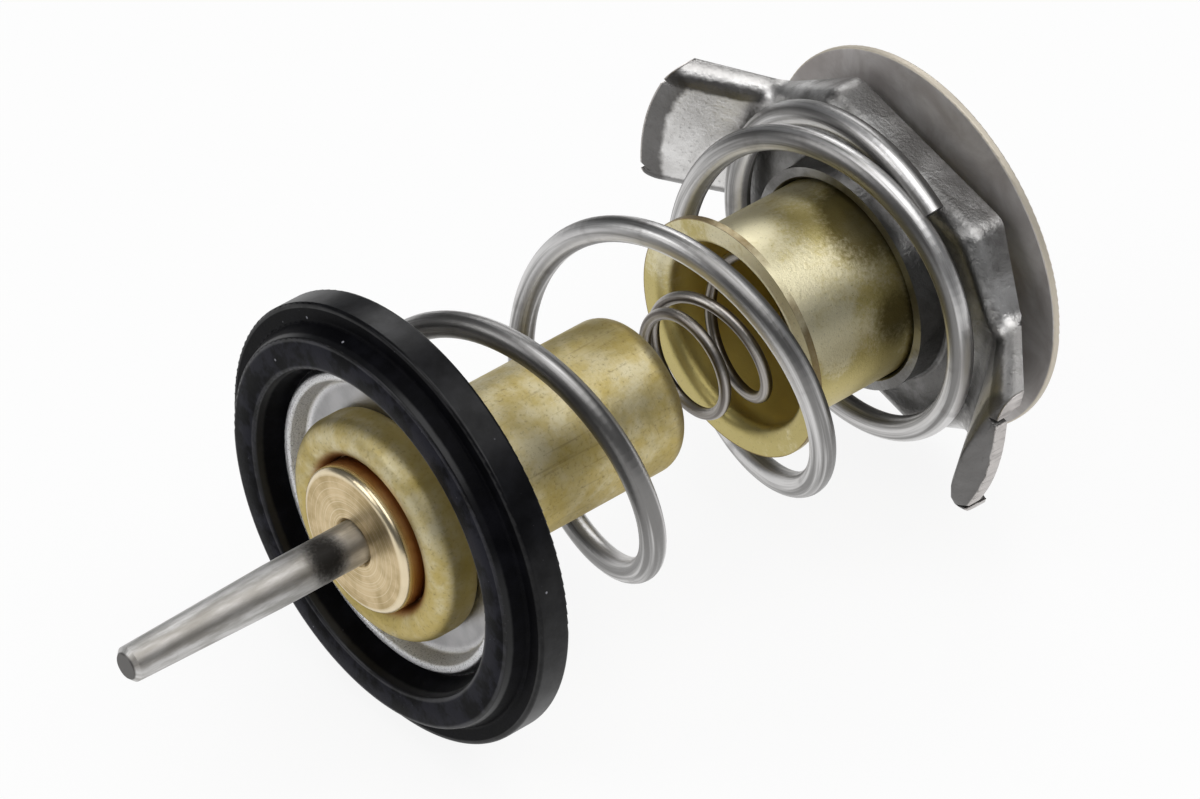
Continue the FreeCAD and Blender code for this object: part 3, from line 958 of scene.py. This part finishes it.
def makeBypassSpring():
    # from its front end rearwards
    s = bypassSpring
    lastRise = s["closedTurns"] + openTurns(s)
    lastTurn = lastRise + s["closedTurns"]
    steps = round(lastTurn * s["stepsPerTurn"])
    points = []
    for i in range(steps + 1):
        turn = lastTurn * i / steps
        rise = climbed(turn, s["closedTurns"], lastRise, s)
        radius = s["frontRadius"] + (s["rearRadius"] - s["frontRadius"]) * min(turn / lastRise, 1)
        points.append(at(s["frontPlace"] + rise, radius, s["startAngle"] - 2 * math.pi * turn))
    placeSpring("bypassSpringWire", points, s, finishes["bypassWire"], "bypass", "bypass_spring")


makeMainSpring()
makeBypassSpring()
print("springs made")


# a lamp is the direction towards it, its width in degrees and its strength
studio = {
    "floor": (0.90, 0.90, 0.90),
    "floorSize": 12.0,
    "floorRoughness": 0.9,
    "floorSpecular": 0.1,
    "white": (1, 1, 1),
    "whiteStrength": 1.0,
    "whitening": 0.90,
    "world": (0.80, 0.82, 0.85),
    "worldStrength": 0.12,
    "lamps": {
        "topSoftbox": ((0.05, -0.35, 1.25), 62, 1.9),
        "leftSoftbox": ((-0.95, 0.40, 0.75), 34, 0.75),
        "rearSoftbox": ((0.75, 0.75, 0.70), 30, 0.55),
    },
}


def makeFloor():
    bm = bmesh.new()
    bmesh.ops.create_grid(bm, x_segments=1, y_segments=1, size=studio["floorSize"] / 2)
    mesh = bpy.data.meshes.new("floor")
    bm.to_mesh(mesh)
    bm.free()
    floor = bpy.data.objects.new("floor", mesh)
    bpy.context.scene.collection.objects.link(floor)
    f = Finish("floorPaper")
    f.give(colour=studio["floor"], roughness=studio["floorRoughness"],
           specular=studio["floorSpecular"])
    glow = f.add("ShaderNodeEmission", inputs={"Color": studio["white"],
                                               "Strength": studio["whiteStrength"]})
    # the floor is white to the camera and in metal, and still takes the shadow
    seen = f.add("ShaderNodeLightPath", output="Is Camera Ray")
    rays = seen.socket.node.outputs
    seen = seen.top(Value(f, rays["Is Glossy Ray"])).top(Value(f, rays["Is Transmission Ray"]))
    both = f.add("ShaderNodeMixShader",
                 inputs={0: seen * studio["whitening"], 1: f.surface, 2: glow})
    f.feed(f.output.inputs["Surface"], both)
    mesh.materials.append(f.material)


def makeLamp(name, towards, width, strength):
    # a round softbox, so far away that only its direction counts
    data = bpy.data.lights.new(name, "SUN")
    data.angle = math.radians(width)
    data.energy = strength
    lamp = bpy.data.objects.new(name, data)
    lamp.location = Vector(towards).normalized()
    lamp.rotation_euler = Vector(towards).to_track_quat("Z", "Y").to_euler()
    bpy.context.scene.collection.objects.link(lamp)


def makeWorld():
    world = bpy.data.worlds.new("studioWorld")
    world.use_nodes = True
    background = world.node_tree.nodes["Background"]
    background.inputs["Color"].default_value = (*studio["world"], 1)
    background.inputs["Strength"].default_value = studio["worldStrength"]
    bpy.context.scene.world = world


cameraPlace = {
    "position": (-0.32735, -0.3915, 0.4455),
    "right": (0.7597, -0.6503, 0.0),
    "up": (0.4122, 0.4816, 0.7734),
    "back": (-0.5029, -0.5875, 0.6339),
    "lens": 217.5,
    "sensor": 36,
    "nearest": 0.01,
    "furthest": 20,
}


def makeCamera():
    c = cameraPlace
    data = bpy.data.cameras.new("photoCamera")
    data.lens = c["lens"]
    data.sensor_width = c["sensor"]
    data.sensor_fit = "HORIZONTAL"
    data.clip_start = c["nearest"]
    data.clip_end = c["furthest"]
    camera = bpy.data.objects.new("photoCamera", data)
    turn = Matrix((c["right"], c["up"], c["back"])).transposed().to_4x4()
    camera.matrix_world = Matrix.Translation(c["position"]) @ turn
    bpy.context.scene.collection.objects.link(camera)
    bpy.context.scene.camera = camera


makeFloor()
makeWorld()
for name, (towards, width, strength) in studio["lamps"].items():
    makeLamp(name, towards, width, strength)
makeCamera()
bpy.context.scene.view_settings.view_transform = "Standard"
print("studio ready")
